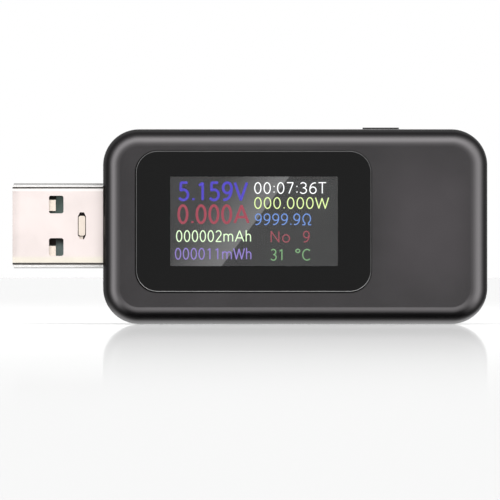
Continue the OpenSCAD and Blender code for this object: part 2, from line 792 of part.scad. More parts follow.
front_shell();
rear_shell();
window_lens();
window_mask();
window_tape();
lcd_polariser();
lcd_front_glass();
lcd_rear_glass();
lcd_driver_chip();
lcd_light_guide();
lcd_frame();
lcd_flex();
lcd_foam_pad();
main_board();
microcontroller();
microcontroller_pins();
amplifier_chip();
amplifier_pins();
memory_chip();
memory_pins();
regulator_chip();
regulator_pins();
shunt_resistor();
shunt_terminals();
diode();
diode_terminals();
inductor();
crystal();
capacitors();
capacitor_terminals();
resistors();
resistor_terminals();
thermistor();
button_cap();
switch_base();
switch_cover();
switch_dome();
switch_plunger();
switch_pins();
plug_shell();
plug_insert();
socket_shell();
socket_springs();
socket_insert();
for (i = [0 : 3]) {
    plug_contact(i);
    socket_contact(i);
}
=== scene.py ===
"""USB power meter: the looks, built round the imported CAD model."""

import json
import math

import bmesh
import bpy
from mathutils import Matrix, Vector


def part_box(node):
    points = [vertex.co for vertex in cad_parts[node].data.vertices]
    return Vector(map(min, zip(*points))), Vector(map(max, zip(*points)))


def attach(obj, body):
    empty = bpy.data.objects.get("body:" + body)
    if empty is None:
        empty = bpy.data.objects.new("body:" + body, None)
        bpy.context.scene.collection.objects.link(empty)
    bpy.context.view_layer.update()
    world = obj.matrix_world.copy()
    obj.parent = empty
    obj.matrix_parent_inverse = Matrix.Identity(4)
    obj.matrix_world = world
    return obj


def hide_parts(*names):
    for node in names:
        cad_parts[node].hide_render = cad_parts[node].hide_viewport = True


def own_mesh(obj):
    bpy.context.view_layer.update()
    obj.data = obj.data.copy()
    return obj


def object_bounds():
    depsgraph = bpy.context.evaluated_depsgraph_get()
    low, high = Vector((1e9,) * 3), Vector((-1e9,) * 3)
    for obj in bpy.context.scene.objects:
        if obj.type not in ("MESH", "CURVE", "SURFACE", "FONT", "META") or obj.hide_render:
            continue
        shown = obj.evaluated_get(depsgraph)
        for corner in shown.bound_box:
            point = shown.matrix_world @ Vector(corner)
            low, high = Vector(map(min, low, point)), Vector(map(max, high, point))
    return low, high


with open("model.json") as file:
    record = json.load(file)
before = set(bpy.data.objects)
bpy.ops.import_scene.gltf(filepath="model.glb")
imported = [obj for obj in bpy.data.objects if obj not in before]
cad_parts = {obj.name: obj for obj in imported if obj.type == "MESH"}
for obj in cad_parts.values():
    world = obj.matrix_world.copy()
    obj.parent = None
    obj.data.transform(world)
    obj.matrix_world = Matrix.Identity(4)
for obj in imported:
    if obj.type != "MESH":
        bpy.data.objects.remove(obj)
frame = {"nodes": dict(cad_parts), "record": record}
cad_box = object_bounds()
MM = 0.001


# ---------------------------------------------------------------- node helpers

PATCH = 4 * MM


class Nodes:
    """Short names for adding and joining the nodes of one tree."""

    def __init__(self, tree, clear=True):
        self.tree = tree
        if clear:
            self.tree.nodes.clear()

    def add(self, kind, **settings):
        node = self.tree.nodes.new(kind)
        for key, value in settings.items():
            setattr(node, key, value)
        return node

    def put(self, socket, value):
        """Joins value to socket if it is another socket, and sets it otherwise."""
        if isinstance(value, bpy.types.NodeSocket):
            self.tree.links.new(value, socket)
        else:
            socket.default_value = value

    def math(self, operation, a, b=0.0):
        node = self.add("ShaderNodeMath", operation=operation)
        self.put(node.inputs[0], a)
        self.put(node.inputs[1], b)
        return node.outputs[0]

    def both(self, *factors):
        """The product of two or more factors."""
        total = factors[0]
        for factor in factors[1:]:
            total = self.math("MULTIPLY", total, factor)
        return total

    def smooth(self, value, start, end, to_start=0.0, to_end=1.0):
        """Eases from to_start to to_end as value goes from start to end, which may be the lower one."""
        node = self.add("ShaderNodeMapRange", interpolation_type="SMOOTHSTEP")
        for socket, v in zip(node.inputs, (value, start, end, to_start, to_end)):
            self.put(socket, v)
        return node.outputs[0]

    def within(self, value, low, full_from, full_to, high):
        """Rises from 0 to 1 between low and full_from, and falls back to 0 between full_to and high."""
        return self.both(self.smooth(value, low, full_from), self.smooth(value, high, full_to))

    def mix(self, factor, a, b):
        node = self.add("ShaderNodeMix", data_type="RGBA")
        self.put(node.inputs["Factor"], factor)
        self.put(node.inputs[6], a)
        self.put(node.inputs[7], b)
        return node.outputs[2]

    def noise(self, size, detail):
        """Noise in the object's own space, whose features are about size metres across."""
        node = self.add("ShaderNodeTexNoise")
        self.put(node.inputs["Vector"], self.add("ShaderNodeTexCoord").outputs["Object"])
        node.inputs["Scale"].default_value = 1 / size
        node.inputs["Detail"].default_value = detail
        return node.outputs["Fac"]

    def object_xyz(self):
        parts = self.add("ShaderNodeSeparateXYZ")
        self.put(parts.inputs[0], self.add("ShaderNodeTexCoord").outputs["Object"])
        return parts.outputs

    def ramp(self, value, stops):
        node = self.add("ShaderNodeValToRGB")
        node.color_ramp.interpolation = "EASE"
        self.put(node.inputs[0], value)
        points = node.color_ramp.elements
        while len(points) < len(stops):
            points.new(0.5)
        for point, (place, level) in zip(points, stops):
            point.position = place
            point.color = (level, level, level, 1)
        return node.outputs[0]


def rgba(colour):
    return (*colour[:3], 1.0)


def scaled(colour, k):
    return tuple(min(c * k, 1.0) for c in colour[:3])


def blank(name):
    """A new material, its nodes, and the one Principled shader in it."""
    mat = bpy.data.materials.new(name)
    mat.use_nodes = True
    n = Nodes(mat.node_tree)
    shader = n.add("ShaderNodeBsdfPrincipled")
    n.put(n.add("ShaderNodeOutputMaterial").inputs["Surface"], shader.outputs[0])
    return mat, n, shader


def surface(name, colour, rough, metallic=0.0, vary=0.12, grain=0.12, bump=0.02, **sockets):
    """A finish with patchy colour and roughness, and a fine grain in its normal.

    grain and bump are the grain's size and height in mm, and sockets are other inputs of the shader.
    """
    mat, n, shader = blank(name)
    patches = n.noise(PATCH, 3)
    fine = n.noise(grain * MM, 2)
    dark, light = scaled(colour, 1 - vary), scaled(colour, 1 + vary)
    n.put(shader.inputs["Base Color"], n.mix(patches, rgba(dark), rgba(light)))
    mixed = n.math("ADD", n.math("MULTIPLY", patches, 0.5), n.math("MULTIPLY", fine, 0.5))
    n.put(shader.inputs["Roughness"], n.smooth(mixed, 0.2, 0.8, rough * 0.85, min(rough * 1.15, 1)))
    shader.inputs["Metallic"].default_value = metallic
    relief = n.add("ShaderNodeBump")
    relief.inputs["Strength"].default_value = 1.0
    relief.inputs["Distance"].default_value = bump * MM
    n.put(relief.inputs["Height"], fine)
    n.put(shader.inputs["Normal"], relief.outputs[0])
    for key, value in sockets.items():
        shader.inputs[key.replace("_", " ")].default_value = value
    return mat


def painted(mat):
    """The nodes of a surface made above, its shader, and what now feeds the shader's base colour."""
    n = Nodes(mat.node_tree, clear=False)
    shader = next(node for node in n.tree.nodes if node.type == "BSDF_PRINCIPLED")
    return n, shader, shader.inputs["Base Color"].links[0].from_socket


# ---------------------------------------------------------------- finishes of the CAD nodes

casing_low, casing_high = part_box("front_shell")


def casing_material():
    """Satin black plastic, with a painted sheen in the middle of the face beside the window, and its sides
    and back painted paler as painted light.
    """
    mat = surface("casing_plastic", (0.003, 0.0028, 0.003), 0.19, bump=0.0015,
                  Specular_Tint=(1, 0.955, 0.98, 1))
    n, shader, plain = painted(mat)
    x, y, z = n.object_xyz()
    across = [casing_high.x - from_end * MM for from_end in (17, 10.5, 5.5, 0.5)]
    upward = [casing_low.z + from_foot * MM for from_foot in (1, 11, 17, 27)]
    # Painted sheen: the middle of the face beside the window is painted paler.
    glow = n.both(n.within(x, *across), n.within(z, *upward))
    face = n.mix(glow, plain, (0.0115, 0.01, 0.011, 1))
    # The sides and back are painted paler than the face, as painted light, with a random tone in that paler
    # colour.
    painted_side_light = n.mix(n.noise(3 * MM, 3), (0.027, 0.0255, 0.0265, 1), (0.035, 0.0335, 0.0345, 1))
    round_side = n.smooth(y, casing_low.y + 2.2 * MM, casing_low.y + 4 * MM)
    n.put(shader.inputs["Base Color"], n.mix(round_side, face, painted_side_light))
    sheen = shader.inputs["Roughness"].links[0].from_socket
    n.put(shader.inputs["Roughness"], n.math("ADD", sheen, n.math("MULTIPLY", round_side, 0.24)))
    plug_end = n.smooth(x, casing_low.x + 0.7 * MM, casing_low.x + 6.7 * MM, 0.84, 1.0)
    n.put(shader.inputs["Specular IOR Level"], n.both(plug_end, n.smooth(round_side, 0, 1, 0.5, 0.3)))
    return mat


plug_low, plug_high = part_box("plug_shell")
PLUG_MID = (plug_low.z + plug_high.z) / 2
CREASE = (plug_high.z - plug_low.z) / 2 - 0.61 * MM


def past_tip(distance):
    """The x of a place on the plug, so many mm from its tip."""
    return plug_low.x + distance * MM


def above_mid(height):
    """The z of a place on the plug, so many mm above its centre line."""
    return PLUG_MID + height * MM


def plug_material():
    """Bright nickel, with painted shade in its creases and near the casing, a pale and a cream strip beside
    the creases, and duller rolled edges painted paler below and darker above.
    """
    mat = surface("plug_steel", (0.43, 0.384, 0.372), 0.35, metallic=1.0, vary=0.02, grain=0.2, bump=0.002)
    n, shader, plain = painted(mat)
    x, y, z = n.object_xyz()
    out = n.math("ABSOLUTE", n.math("SUBTRACT", z, PLUG_MID))
    # Darker towards the tip, and a painted shade near the casing at the plug's foot.
    lip = n.smooth(x, past_tip(0), past_tip(1.3), 0.86, 1.0)
    foot = n.smooth(x, past_tip(11.2), past_tip(12.8), 1.0, 0.93)
    face = n.mix(n.both(lip, foot), (0, 0, 0, 1), plain)
    lower_strip = n.smooth(z, above_mid(-4.1), above_mid(-4.7))
    face = n.mix(lower_strip, face, (0.43, 0.4, 0.35, 1))
    upper_strip = n.smooth(z, above_mid(4.8), above_mid(5))
    face = n.mix(upper_strip, face, (0.47, 0.45, 0.44, 1))
    # Painted shade: the creases are painted dark.
    painted_crease_shade = n.smooth(n.math("ABSOLUTE", n.math("SUBTRACT", out, CREASE)), 0.19 * MM, 0.12 * MM)
    roll = n.smooth(out, 5.5 * MM, 5.6 * MM)
    # Painted light and shade on the rolled edges: the lower edge paler, the upper one darker, each darker
    # towards its outside.
    under = n.mix(n.smooth(out, 5.8 * MM, 5.93 * MM), (0.75, 0.74, 0.73, 1), (0.28, 0.275, 0.27, 1))
    over = n.mix(n.smooth(out, 5.66 * MM, 5.86 * MM), (0.34, 0.335, 0.33, 1), (0.2, 0.197, 0.195, 1))
    painted_roll_shading = n.mix(n.smooth(z, above_mid(-1), above_mid(1)), under, over)
    edge = n.mix(roll, face, painted_roll_shading)
    n.put(shader.inputs["Base Color"], n.mix(painted_crease_shade, edge, (0.18, 0.172, 0.165, 1)))
    n.put(shader.inputs["Metallic"], n.math("SUBTRACT", 1.0, n.math("MULTIPLY", roll, 0.85)))
    return mat


def insert_material():
    """Cream plastic, with painted shade in the pockets behind the latch windows and painted shadow round the
    lock tab.
    """
    mat = surface("insert_plastic", (0.375, 0.325, 0.28), 0.5, vary=0.05)
    n, shader, plain = painted(mat)
    x, y, z = n.object_xyz()
    # The pockets behind the latch windows are painted dark teal as painted shade.
    window = n.both(n.within(x, past_tip(5), past_tip(5.1), past_tip(7.3), past_tip(7.4)),
                    n.within(y, -1.88 * MM, -1.5 * MM, -0.5 * MM, -0.3 * MM))
    # Painted shadow, near black, in the gap round the lock tab.
    lock_tab = n.math("MAXIMUM", n.smooth(z, above_mid(-1.6), above_mid(-1.4)),
                      n.smooth(x, past_tip(9.9), past_tip(10)))
    lock = n.both(n.within(x, past_tip(9), past_tip(9.1), past_tip(10.5), past_tip(10.6)),
                  n.smooth(y, -2.18 * MM, -2.1 * MM), lock_tab)
    teal = n.mix(n.smooth(z, above_mid(-4), above_mid(4.2)),
                 (0.135, 0.17, 0.163, 1), (0.112, 0.152, 0.137, 1))
    # Painted shadow, near black, at the top of each window.
    beside = n.smooth(x, past_tip(6.25), past_tip(6.05))
    upper = n.both(beside, n.smooth(z, above_mid(3.3), above_mid(4)))
    lower = n.both(beside, n.within(z, above_mid(-3), above_mid(-2.6), above_mid(-1), above_mid(0)))
    brow = n.within(z, above_mid(-3.1), above_mid(-1.8), above_mid(-1), above_mid(0))
    shade = n.math("MAXIMUM", n.math("MAXIMUM", upper, lower), n.math("MULTIPLY", brow, 0.85))
    colour = n.mix(window, plain, n.mix(shade, teal, (0.014, 0.01, 0.009, 1)))
    n.put(shader.inputs["Base Color"], n.mix(lock, colour, (0.004, 0.003, 0.003, 1)))
    n.put(shader.inputs["Specular IOR Level"], n.smooth(n.math("MAXIMUM", window, lock), 0, 1, 0.5, 0.05))
    return mat


FINISHES = {
    "casing_plastic": casing_material(),
    "button_plastic": surface("button_plastic", (0.008, 0.0077, 0.0079), 0.4, bump=0.0015,
                              Specular_IOR_Level=0.25),
    "clear_window": surface("clear_window", (0.9, 0.92, 0.92), 0.03, Alpha=0.1),
    "black_ink": surface("black_ink", (0.0006, 0.0006, 0.0006), 0.5, Specular_IOR_Level=0.0),
    "black_tape": surface("black_tape", (0.02, 0.02, 0.02), 0.8),
    "polariser_film": surface("polariser_film", (0.05, 0.05, 0.055), 0.3),
    "display_glass": surface("display_glass", (0.6, 0.7, 0.7), 0.05),
    "bare_chip": surface("bare_chip", (0.03, 0.03, 0.035), 0.15),
    "light_guide": surface("light_guide", (0.85, 0.85, 0.82), 0.3),
    "white_plastic": surface("white_plastic", (0.8, 0.8, 0.78), 0.45),
    "flex_film": surface("flex_film", (0.42, 0.18, 0.04), 0.3),
    "foam": surface("foam", (0.04, 0.04, 0.04), 0.9, grain=0.3, bump=0.1),
    "board_laminate": surface("board_laminate", (0.015, 0.12, 0.045), 0.35),
    "chip_epoxy": surface("chip_epoxy", (0.025, 0.025, 0.025), 0.6, bump=0.01),
    "tinned_metal": surface("tinned_metal", (0.7, 0.7, 0.69), 0.35, metallic=1.0),
    "resistor_black": surface("resistor_black", (0.02, 0.02, 0.02), 0.3),
    "copper_terminal": surface("copper_terminal", (0.75, 0.45, 0.3), 0.35, metallic=1.0),
    "ferrite": surface("ferrite", (0.1, 0.1, 0.11), 0.6),
    "crystal_can": surface("crystal_can", (0.72, 0.72, 0.74), 0.3, metallic=1.0),
    "capacitor_ceramic": surface("capacitor_ceramic", (0.45, 0.3, 0.18), 0.5),
    "thermistor_bead": surface("thermistor_bead", (0.05, 0.09, 0.2), 0.4),
    "switch_steel": surface("switch_steel", (0.65, 0.65, 0.66), 0.3, metallic=1.0),
    "spring_steel": surface("spring_steel", (0.62, 0.6, 0.55), 0.25, metallic=1.0),
    "plunger_plastic": surface("plunger_plastic", (0.7, 0.65, 0.55), 0.4),
    "plug_steel": plug_material(),
    "socket_steel": surface("socket_steel", (0.36, 0.357, 0.353), 0.38, metallic=1.0),
    "insert_plastic": insert_material(),
    "gold_contact": surface("gold_contact", (0.85, 0.6, 0.25), 0.25, metallic=1.0),
}
slot_of = {row["node"]: row["material_slot"] for row in frame["record"]["subparts"]}
for node_name, node in frame["nodes"].items():
    node.data.materials.clear()
    node.data.materials.append(FINISHES[slot_of[node_name]])
frame["nodes"]["plug_shell"].visible_glossy = False


# ---------------------------------------------------------------- mesh helpers

CORNER_STEPS = 12
ROUNDING_STEPS = 5
SHARP_EDGE = math.radians(35)
# How far a rolled edge's last row lies inside the front face, for radius 1
LAST_INSET = 1.4


def rounded_outline(centre, length, height, radius):
    """Points (x, z) round a rectangle with rounded corners, anticlockwise from its right side."""
    points = []
    for turn, (sx, sz) in enumerate(((1, 1), (-1, 1), (-1, -1), (1, -1))):
        cx = centre[0] + sx * (length / 2 - radius)
        cz = centre[1] + sz * (height / 2 - radius)
        for i in range(CORNER_STEPS + 1):
            a = math.radians(90 * (turn + i / CORNER_STEPS))
            points.append((cx + radius * math.cos(a), cz + radius * math.sin(a)))
    return points


def finish_mesh(name, bm, material, body, replaced=()):
    """Turns bm into a piece that rides on body, smooth but for its sharp edges."""
    bmesh.ops.recalc_face_normals(bm, faces=bm.faces)
    mesh = bpy.data.meshes.new(name)
    bm.to_mesh(mesh)
    bm.free()
    mesh.shade_smooth()
    mesh.set_sharp_from_angle(angle=SHARP_EDGE)
    piece = bpy.data.objects.new(name, mesh)
    bpy.context.scene.collection.objects.link(piece)
    mesh.materials.append(material)
    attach(piece, body)
    if replaced:
        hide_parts(*replaced)
    return piece


def loft(loops):
    """A closed mesh through loops of points, each with the same count, capped at both ends."""
    bm = bmesh.new()
    rows = [[bm.verts.new(p) for p in loop] for loop in loops]
    for low, high in zip(rows, rows[1:]):
        for i in range(len(low)):
            j = (i + 1) % len(low)
            bm.faces.new((low[i], low[j], high[j], high[i]))
    bm.faces.new(rows[0])
    bm.faces.new(rows[-1])
    return bm


def rounding(radius):
    """(inset, drop) pairs along a quarter circle, from the full outline to just inside the top face."""
    for i in range(ROUNDING_STEPS + 1):
        a = math.radians(90 * i / ROUNDING_STEPS)
        yield radius * (1 - math.cos(a)), radius * (1 - math.sin(a))
    yield radius * LAST_INSET, 0.0


def rounded_plate(low, high, corner, edge, opening=()):
    """A plate between two corners of a box, which looks along -Y, with round corners and a rolled edge.

    opening is a last loop of (x, z) points on the front, which gives what it encloses a face of its own.
    """
    centre = ((low.x + high.x) / 2, (low.z + high.z) / 2)
    size = high - low
    loops = [[(x, high.y, z) for x, z in rounded_outline(centre, size.x, size.z, corner)]]
    for inset, drop in rounding(edge):
        outline = rounded_outline(centre, size.x - 2 * inset, size.z - 2 * inset, corner - inset)
        loops.append([(x, low.y + drop, z) for x, z in outline])
    if opening:
        loops.append([(x, low.y, z) for x, z in opening])
    return loft(loops)


# ---------------------------------------------------------------- window

lens_low, lens_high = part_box("window_lens")
GLASS_IOR = 1.32
VIEW_LENGTH, VIEW_HEIGHT = 23.7 * MM, 12.7 * MM
VIEW_MID = ((lens_low.x + lens_high.x) / 2 + 0.1 * MM, (lens_low.z + lens_high.z) / 2 + 0.05 * MM)
VIEW_LEFT, VIEW_FOOT = VIEW_MID[0] - VIEW_LENGTH / 2, VIEW_MID[1] - VIEW_HEIGHT / 2


def clear_glass_material():
    """Clear glass with faint smears."""
    mat, n, shader = blank("window_glass")
    smears = n.noise(5 * MM, 3)
    n.put(shader.inputs["Base Color"], n.mix(smears, (0.94, 0.95, 0.95, 1), (0.98, 0.98, 0.98, 1)))
    n.put(shader.inputs["Roughness"], n.smooth(smears, 0.3, 0.8, 0.005, 0.02))
    shader.inputs["Transmission Weight"].default_value = 1.0
    shader.inputs["IOR"].default_value = GLASS_IOR
    return mat


def cut_edge_material():
    """The glass's cut edge, grey, with a painted highlight that is palest at the window's foot."""
    mat = surface("cut_edge", (0.06, 0.06, 0.06), 0.5, grain=0.05)
    n, shader, plain = painted(mat)
    # Painted highlight: the cut edge is painted pale near the window's foot.
    painted_foot_highlight = n.smooth(n.object_xyz()[2], lens_low.z + 3 * MM, lens_low.z)
    n.put(shader.inputs["Base Color"], n.mix(painted_foot_highlight, plain, (0.38, 0.38, 0.38, 1)))
    return mat


def backed_glass_material():
    """Glass with black ink behind it, as one opaque gloss."""
    return surface("backed_glass", (0.0006, 0.0006, 0.0006), 0.012, bump=0.0,
                   IOR=GLASS_IOR, Specular_IOR_Level=0.42)


def window_glass(low_margin=(0.13, 0, 0.15), high_margin=(0.05, 0, 0.05), corner=3.04, edge=0.09):
    """The window's glass: clear over the view, backed round it, and cut at its edge. Sizes in mm."""
    low = lens_low + Vector(low_margin) * MM
    high = lens_high - Vector(high_margin) * MM
    overlap = 0.1 * MM
    view = rounded_outline(VIEW_MID, VIEW_LENGTH - overlap, VIEW_HEIGHT - overlap, 0.03 * MM)
    plate = rounded_plate(low, high, corner * MM, edge * MM, view)
    glass = finish_mesh("window_lens_glass", plate, clear_glass_material(), "meter",
                        ["window_lens"])
    for finish in (cut_edge_material(), backed_glass_material()):
        glass.data.materials.append(finish)
    cut, backed = 1, 2
    flat = 0.95
    for face in glass.data.polygons:
        if abs(face.normal.y) < flat:
            face.material_index = cut
        elif len(face.vertices) == 4:
            face.material_index = backed


window_glass()


# ---------------------------------------------------------------- display

image_low, image_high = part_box("lcd_polariser")
# The painted glare's slanting edge: how far it goes right as it goes up, and where it starts
EDGE_SLOPE = 0.756
EDGE_FOOT = 7.3 * MM


def display_material():
    """The lit screen: dark grey, with a painted glare that is paler up to a slanting edge."""
    mat, n, shader = blank("display_image")
    x, y, z = n.object_xyz()
    across = n.math("SUBTRACT", x, VIEW_LEFT)
    up = n.math("SUBTRACT", z, VIEW_FOOT)
    edge = n.math("ADD", n.math("MULTIPLY", up, EDGE_SLOPE), EDGE_FOOT)
    # Painted glare, a painted reflection added to the screen's light: paler left of the slanting edge,
    # fading further left.
    before = n.math("SUBTRACT", edge, across)
    pale = n.smooth(before, 0.0, 0.12 * MM)
    fade = n.smooth(before, 10 * MM, -1.5 * MM)
    painted_glare = n.both(pale, fade, 0.14)
    mottle = n.math("MULTIPLY", n.noise(0.5 * MM, 2), 0.012)
    level = n.math("ADD", n.math("ADD", painted_glare, mottle), 0.026)
    glow = n.add("ShaderNodeCombineColor")
    for socket in glow.inputs[:3]:
        n.put(socket, level)
    n.put(shader.inputs["Emission Color"], glow.outputs[0])
    shader.inputs["Emission Strength"].default_value = 1.0
    n.put(shader.inputs["Base Color"], n.mix(mottle, (0.002, 0.002, 0.002, 1), (0.003, 0.003, 0.003, 1)))
    n.put(shader.inputs["Roughness"], n.smooth(mottle, 0.0, 0.012, 0.4, 0.5))
    shader.inputs["Specular IOR Level"].default_value = 0.05
    return mat


finish_mesh("display_image", rounded_plate(image_low, image_high, 0.2 * MM, 0.03 * MM),
            display_material(), "meter", ["lcd_polariser"])


# ---------------------------------------------------------------- readings

def bow(cx, cy, rx, ry, start, end, steps=14):
    """Points along part of an ellipse, from one angle to another in degrees."""
    angles = [math.radians(start + (end - start) * i / steps) for i in range(steps + 1)]
    return [(cx + rx * math.cos(a), cy + ry * math.sin(a)) for a in angles]


def ring(cx, cy, rx, ry):
    """Points round a whole ellipse, from its top back to its top."""
    return bow(cx, cy, rx, ry, 90, 450, 28)


def turned(stroke, width):
    """A stroke turned half round within a glyph of that width and of height 1."""
    return [(width - x, 1 - y) for x, y in stroke]


SIX = [bow(0.42, 0.36, 0.37, 0.62, 78, 175) + [(0.05, 0.3)], ring(0.28, 0.3, 0.23, 0.3)]
DOT = 0.1
ARCH = bow(0.25, 0.45, 0.19, 0.23, 165, 0, 10)
OHM_BOW = bow(0.38, 0.56, 0.3, 0.44, 242, -62, 24)

# Each glyph: its width and its strokes, for capitals of height 1
GLYPHS = {
    "0": (0.56, [ring(0.28, 0.5, 0.23, 0.5)]),
    "1": (0.56, [[(0.12, 0.83), (0.32, 0.98), (0.32, 0)]]),
    "2": (0.56, [bow(0.27, 0.73, 0.22, 0.27, 160, -35) + [(0.05, 0.0), (0.52, 0.0)]]),
    "3": (0.56, [bow(0.24, 0.76, 0.22, 0.24, 145, -90) + bow(0.24, 0.26, 0.25, 0.26, 90, -150)[1:]]),
    "5": (0.56, [[(0.47, 1), (0.12, 1), (0.1, 0.55)] + bow(0.24, 0.3, 0.26, 0.3, 100, -145)]),
    "6": (0.56, SIX),
    "7": (0.56, [[(0.05, 1), (0.51, 1), (0.2, 0)]]),
    "9": (0.56, [turned(stroke, 0.56) for stroke in SIX]),
    ".": (0.16, [[(0.1, 0), (0.1, DOT)]]),
    ":": (0.18, [[(0.1, 0.08), (0.1, 0.08 + DOT)], [(0.1, 0.6), (0.1, 0.6 + DOT)]]),
    "A": (0.78, [[(0.02, 0), (0.39, 1), (0.76, 0)], [(0.15, 0.33), (0.63, 0.33)]]),
    "C": (0.66, [bow(0.4, 0.5, 0.33, 0.5, 48, 312)]),
    "N": (0.68, [[(0.08, 0), (0.08, 1), (0.6, 0), (0.6, 1)]]),
    "T": (0.56, [[(0.0, 1), (0.56, 1)], [(0.28, 1), (0.28, 0)]]),
    "V": (0.66, [[(0.0, 1), (0.33, 0), (0.66, 1)]]),
    "W": (0.94, [[(0.0, 1), (0.24, 0), (0.47, 0.95), (0.7, 0), (0.94, 1)]]),
    "h": (0.5, [[(0.06, 0), (0.06, 1.05)], ARCH + [(0.44, 0)]]),
    "m": (0.9, [[(0.06, 0), (0.06, 0.7)], ARCH + [(0.44, 0)],
                [(x + 0.38, y) for x, y in ARCH] + [(0.82, 0)]]),
    "o": (0.56, [ring(0.28, 0.34, 0.23, 0.34)]),
    "\u00b0": (0.34, [ring(0.17, 0.86, 0.15, 0.15)]),
    "\u03a9": (0.76, [[(0.02, 0), (0.24, 0)] + OHM_BOW + [(0.52, 0), (0.74, 0)]]),
}
SPACE = 0.13
# Heights of the capitals in mm, and the widths of their strokes for height 1
BIG, SMALL = 2.45, 1.52
BOLD, INK = 0.142, 0.102
# The readings stand a hair in front of the image
READING_DEPTH = 0.01 * MM
READING_FRONT = image_low.y - 0.012 * MM
# A corner whose two sides' directions have a smaller product than this is cut off
SHARP_TURN = 0.7
# How much is cut off it, and how far the strip's sides may reach out at a corner, for width 1
CORNER_CUT = 0.3
LONGEST_MITRE = 1.6


def eased(line, cut):
    """The line with each sharp corner cut off, that far along both of its sides."""
    result = [line[0]]
    for before, p, after in zip(line, line[1:], line[2:]):
        arrive, leave = (p - before).normalized(), (after - p).normalized()
        if arrive.dot(leave) < SHARP_TURN:
            result += [p - arrive * cut, p + leave * cut]
        else:
            result.append(p)
    return result + [line[-1]]


def ribbon(bm, points, width):
    """A closed strip of that width along a line of (x, z) points, standing on the display's face."""
    closed = math.dist(points[0], points[-1]) < 1e-9
    line = [Vector(p) for p in (points[:-1] if closed else points)]
    if not closed and len(line) > 2:
        line = eased(line, width * CORNER_CUT)
    count = len(line)
    front, back = READING_FRONT, READING_FRONT + READING_DEPTH
    rows = []
    for i, p in enumerate(line):
        before = (p - line[i - 1]).normalized() if closed or i else (line[1] - p).normalized()
        after = (line[(i + 1) % count] - p).normalized() if closed or i < count - 1 else before
        across = Vector((-before.y - after.y, before.x + after.x)).normalized()
        square = max(across.dot(Vector((-before.y, before.x))), 1 / LONGEST_MITRE)
        a, b = p + across * width / 2 / square, p - across * width / 2 / square
        corners = ((a, front), (b, front), (b, back), (a, back))
        rows.append([bm.verts.new((q.x, y, q.y)) for q, y in corners])
    for i in range(count if closed else count - 1):
        row, next_row = rows[i], rows[(i + 1) % count]
        for j in range(4):
            k = (j + 1) % 4
            bm.faces.new((row[j], row[k], next_row[k], next_row[j]))
    if not closed:
        bm.faces.new(rows[0])
        bm.faces.new(rows[-1])


def reading_material(name, colour, strength):
    """A lit colour with a faint flicker from dot to dot."""
    mat, n, shader = blank(name)
    flicker = n.noise(0.3 * MM, 1)
    n.put(shader.inputs["Emission Color"], n.mix(flicker, rgba(scaled(colour, 0.92)), rgba(colour)))
    shader.inputs["Emission Strength"].default_value = strength
    shader.inputs["Base Color"].default_value = (0.003, 0.003, 0.003, 1)
    shader.inputs["Roughness"].default_value = 0.6
    shader.inputs["Specular IOR Level"].default_value = 0.05
    return mat


def reading(name, text, left, base, width, height, colour, strength=1.0):
    """One reading on the display. left and base count from the view's lower left corner, in mm."""
    total = sum(GLYPHS[c][0] for c in text) + SPACE * (len(text) - 1)
    stretch = width / total
    stroke_width = (BOLD if height == BIG else INK) * height * MM
    bm = bmesh.new()
    pen = 0.0
    for c in text:
        glyph_width, strokes = GLYPHS[c]
        for stroke in strokes:
            points = [
                (VIEW_LEFT + (left + (pen + x) * stretch) * MM, VIEW_FOOT + (base + y * height) * MM)
                for x, y in stroke
            ]
            ribbon(bm, points, stroke_width)
        pen += glyph_width + SPACE
    finish_mesh(name, bm, reading_material(name, colour, strength), "meter")


READINGS = (
    ("reading_volts", "5.159V", 1.25, 9.35, 9.6, BIG, (0.075, 0.05, 0.62)),
    ("reading_amperes", "0.000A", 1.1, 6.13, 10.0, BIG, (0.4, 0.05, 0.085)),
    ("reading_charge", "000002mAh", 0.85, 3.51, 10.6, SMALL, (0.8, 1.0, 0.66), 1.2),
    ("reading_energy", "000011mWh", 0.7, 1.02, 10.8, SMALL, (0.33, 0.24, 0.7)),
    ("reading_time", "00:07:36T", 11.85, 10.28, 10.15, SMALL, (1.0, 1.0, 1.0), 1.3),
    ("reading_watts", "000.000W", 11.85, 8.17, 10.5, SMALL, (0.84, 1.0, 0.42), 1.15),
    ("reading_ohms", "9999.9\u03a9", 11.95, 5.87, 8.0, SMALL, (0.18, 0.34, 0.8)),
    ("reading_group", "No", 14.1, 3.42, 2.85, SMALL, (0.38, 0.075, 0.1)),
    ("reading_group_number", "9", 18.75, 3.42, 0.95, SMALL, (0.38, 0.075, 0.1)),
    ("reading_temperature", "31", 14.2, 0.88, 1.95, SMALL, (0.24, 0.5, 0.22)),
    ("reading_degrees", "\u00b0C", 17.7, 0.88, 2.1, SMALL, (0.24, 0.5, 0.22)),
)
for row in READINGS:
    reading(*row)


# ---------------------------------------------------------------- snap dome

def snap_dome(sheet=0.08 * MM, rings=8, around=48):
    """The thin steel dome under the plunger: a shallow arc turned about its axis.

    The real switch's plunger presses it flat; this mesh keeps the dome's rest shape.
    """
    low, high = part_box("switch_dome")
    mid, reach, rise = (low + high) / 2, (high.x - low.x) / 2, high.z - low.z
    ball = (reach * reach + rise * rise) / (2 * rise)
    steep = math.asin(reach / ball)
    turns = [math.tau * i / around for i in range(around)]
    loops = []
    for skin, steps in ((ball - sheet, range(1, rings + 1)), (ball, range(rings, 0, -1))):
        for step in steps:
            a = steep * step / rings
            out, up = skin * math.sin(a), low.z + max(skin * math.cos(a) - ball + rise, 0)
            loops.append([(mid.x + out * math.cos(t), mid.y + out * math.sin(t), up) for t in turns])
    dome = finish_mesh("snap_dome", loft(loops), FINISHES["spring_steel"], "meter",
                       ["switch_dome"])
    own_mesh(dome)


snap_dome()


# ---------------------------------------------------------------- light, floor and camera

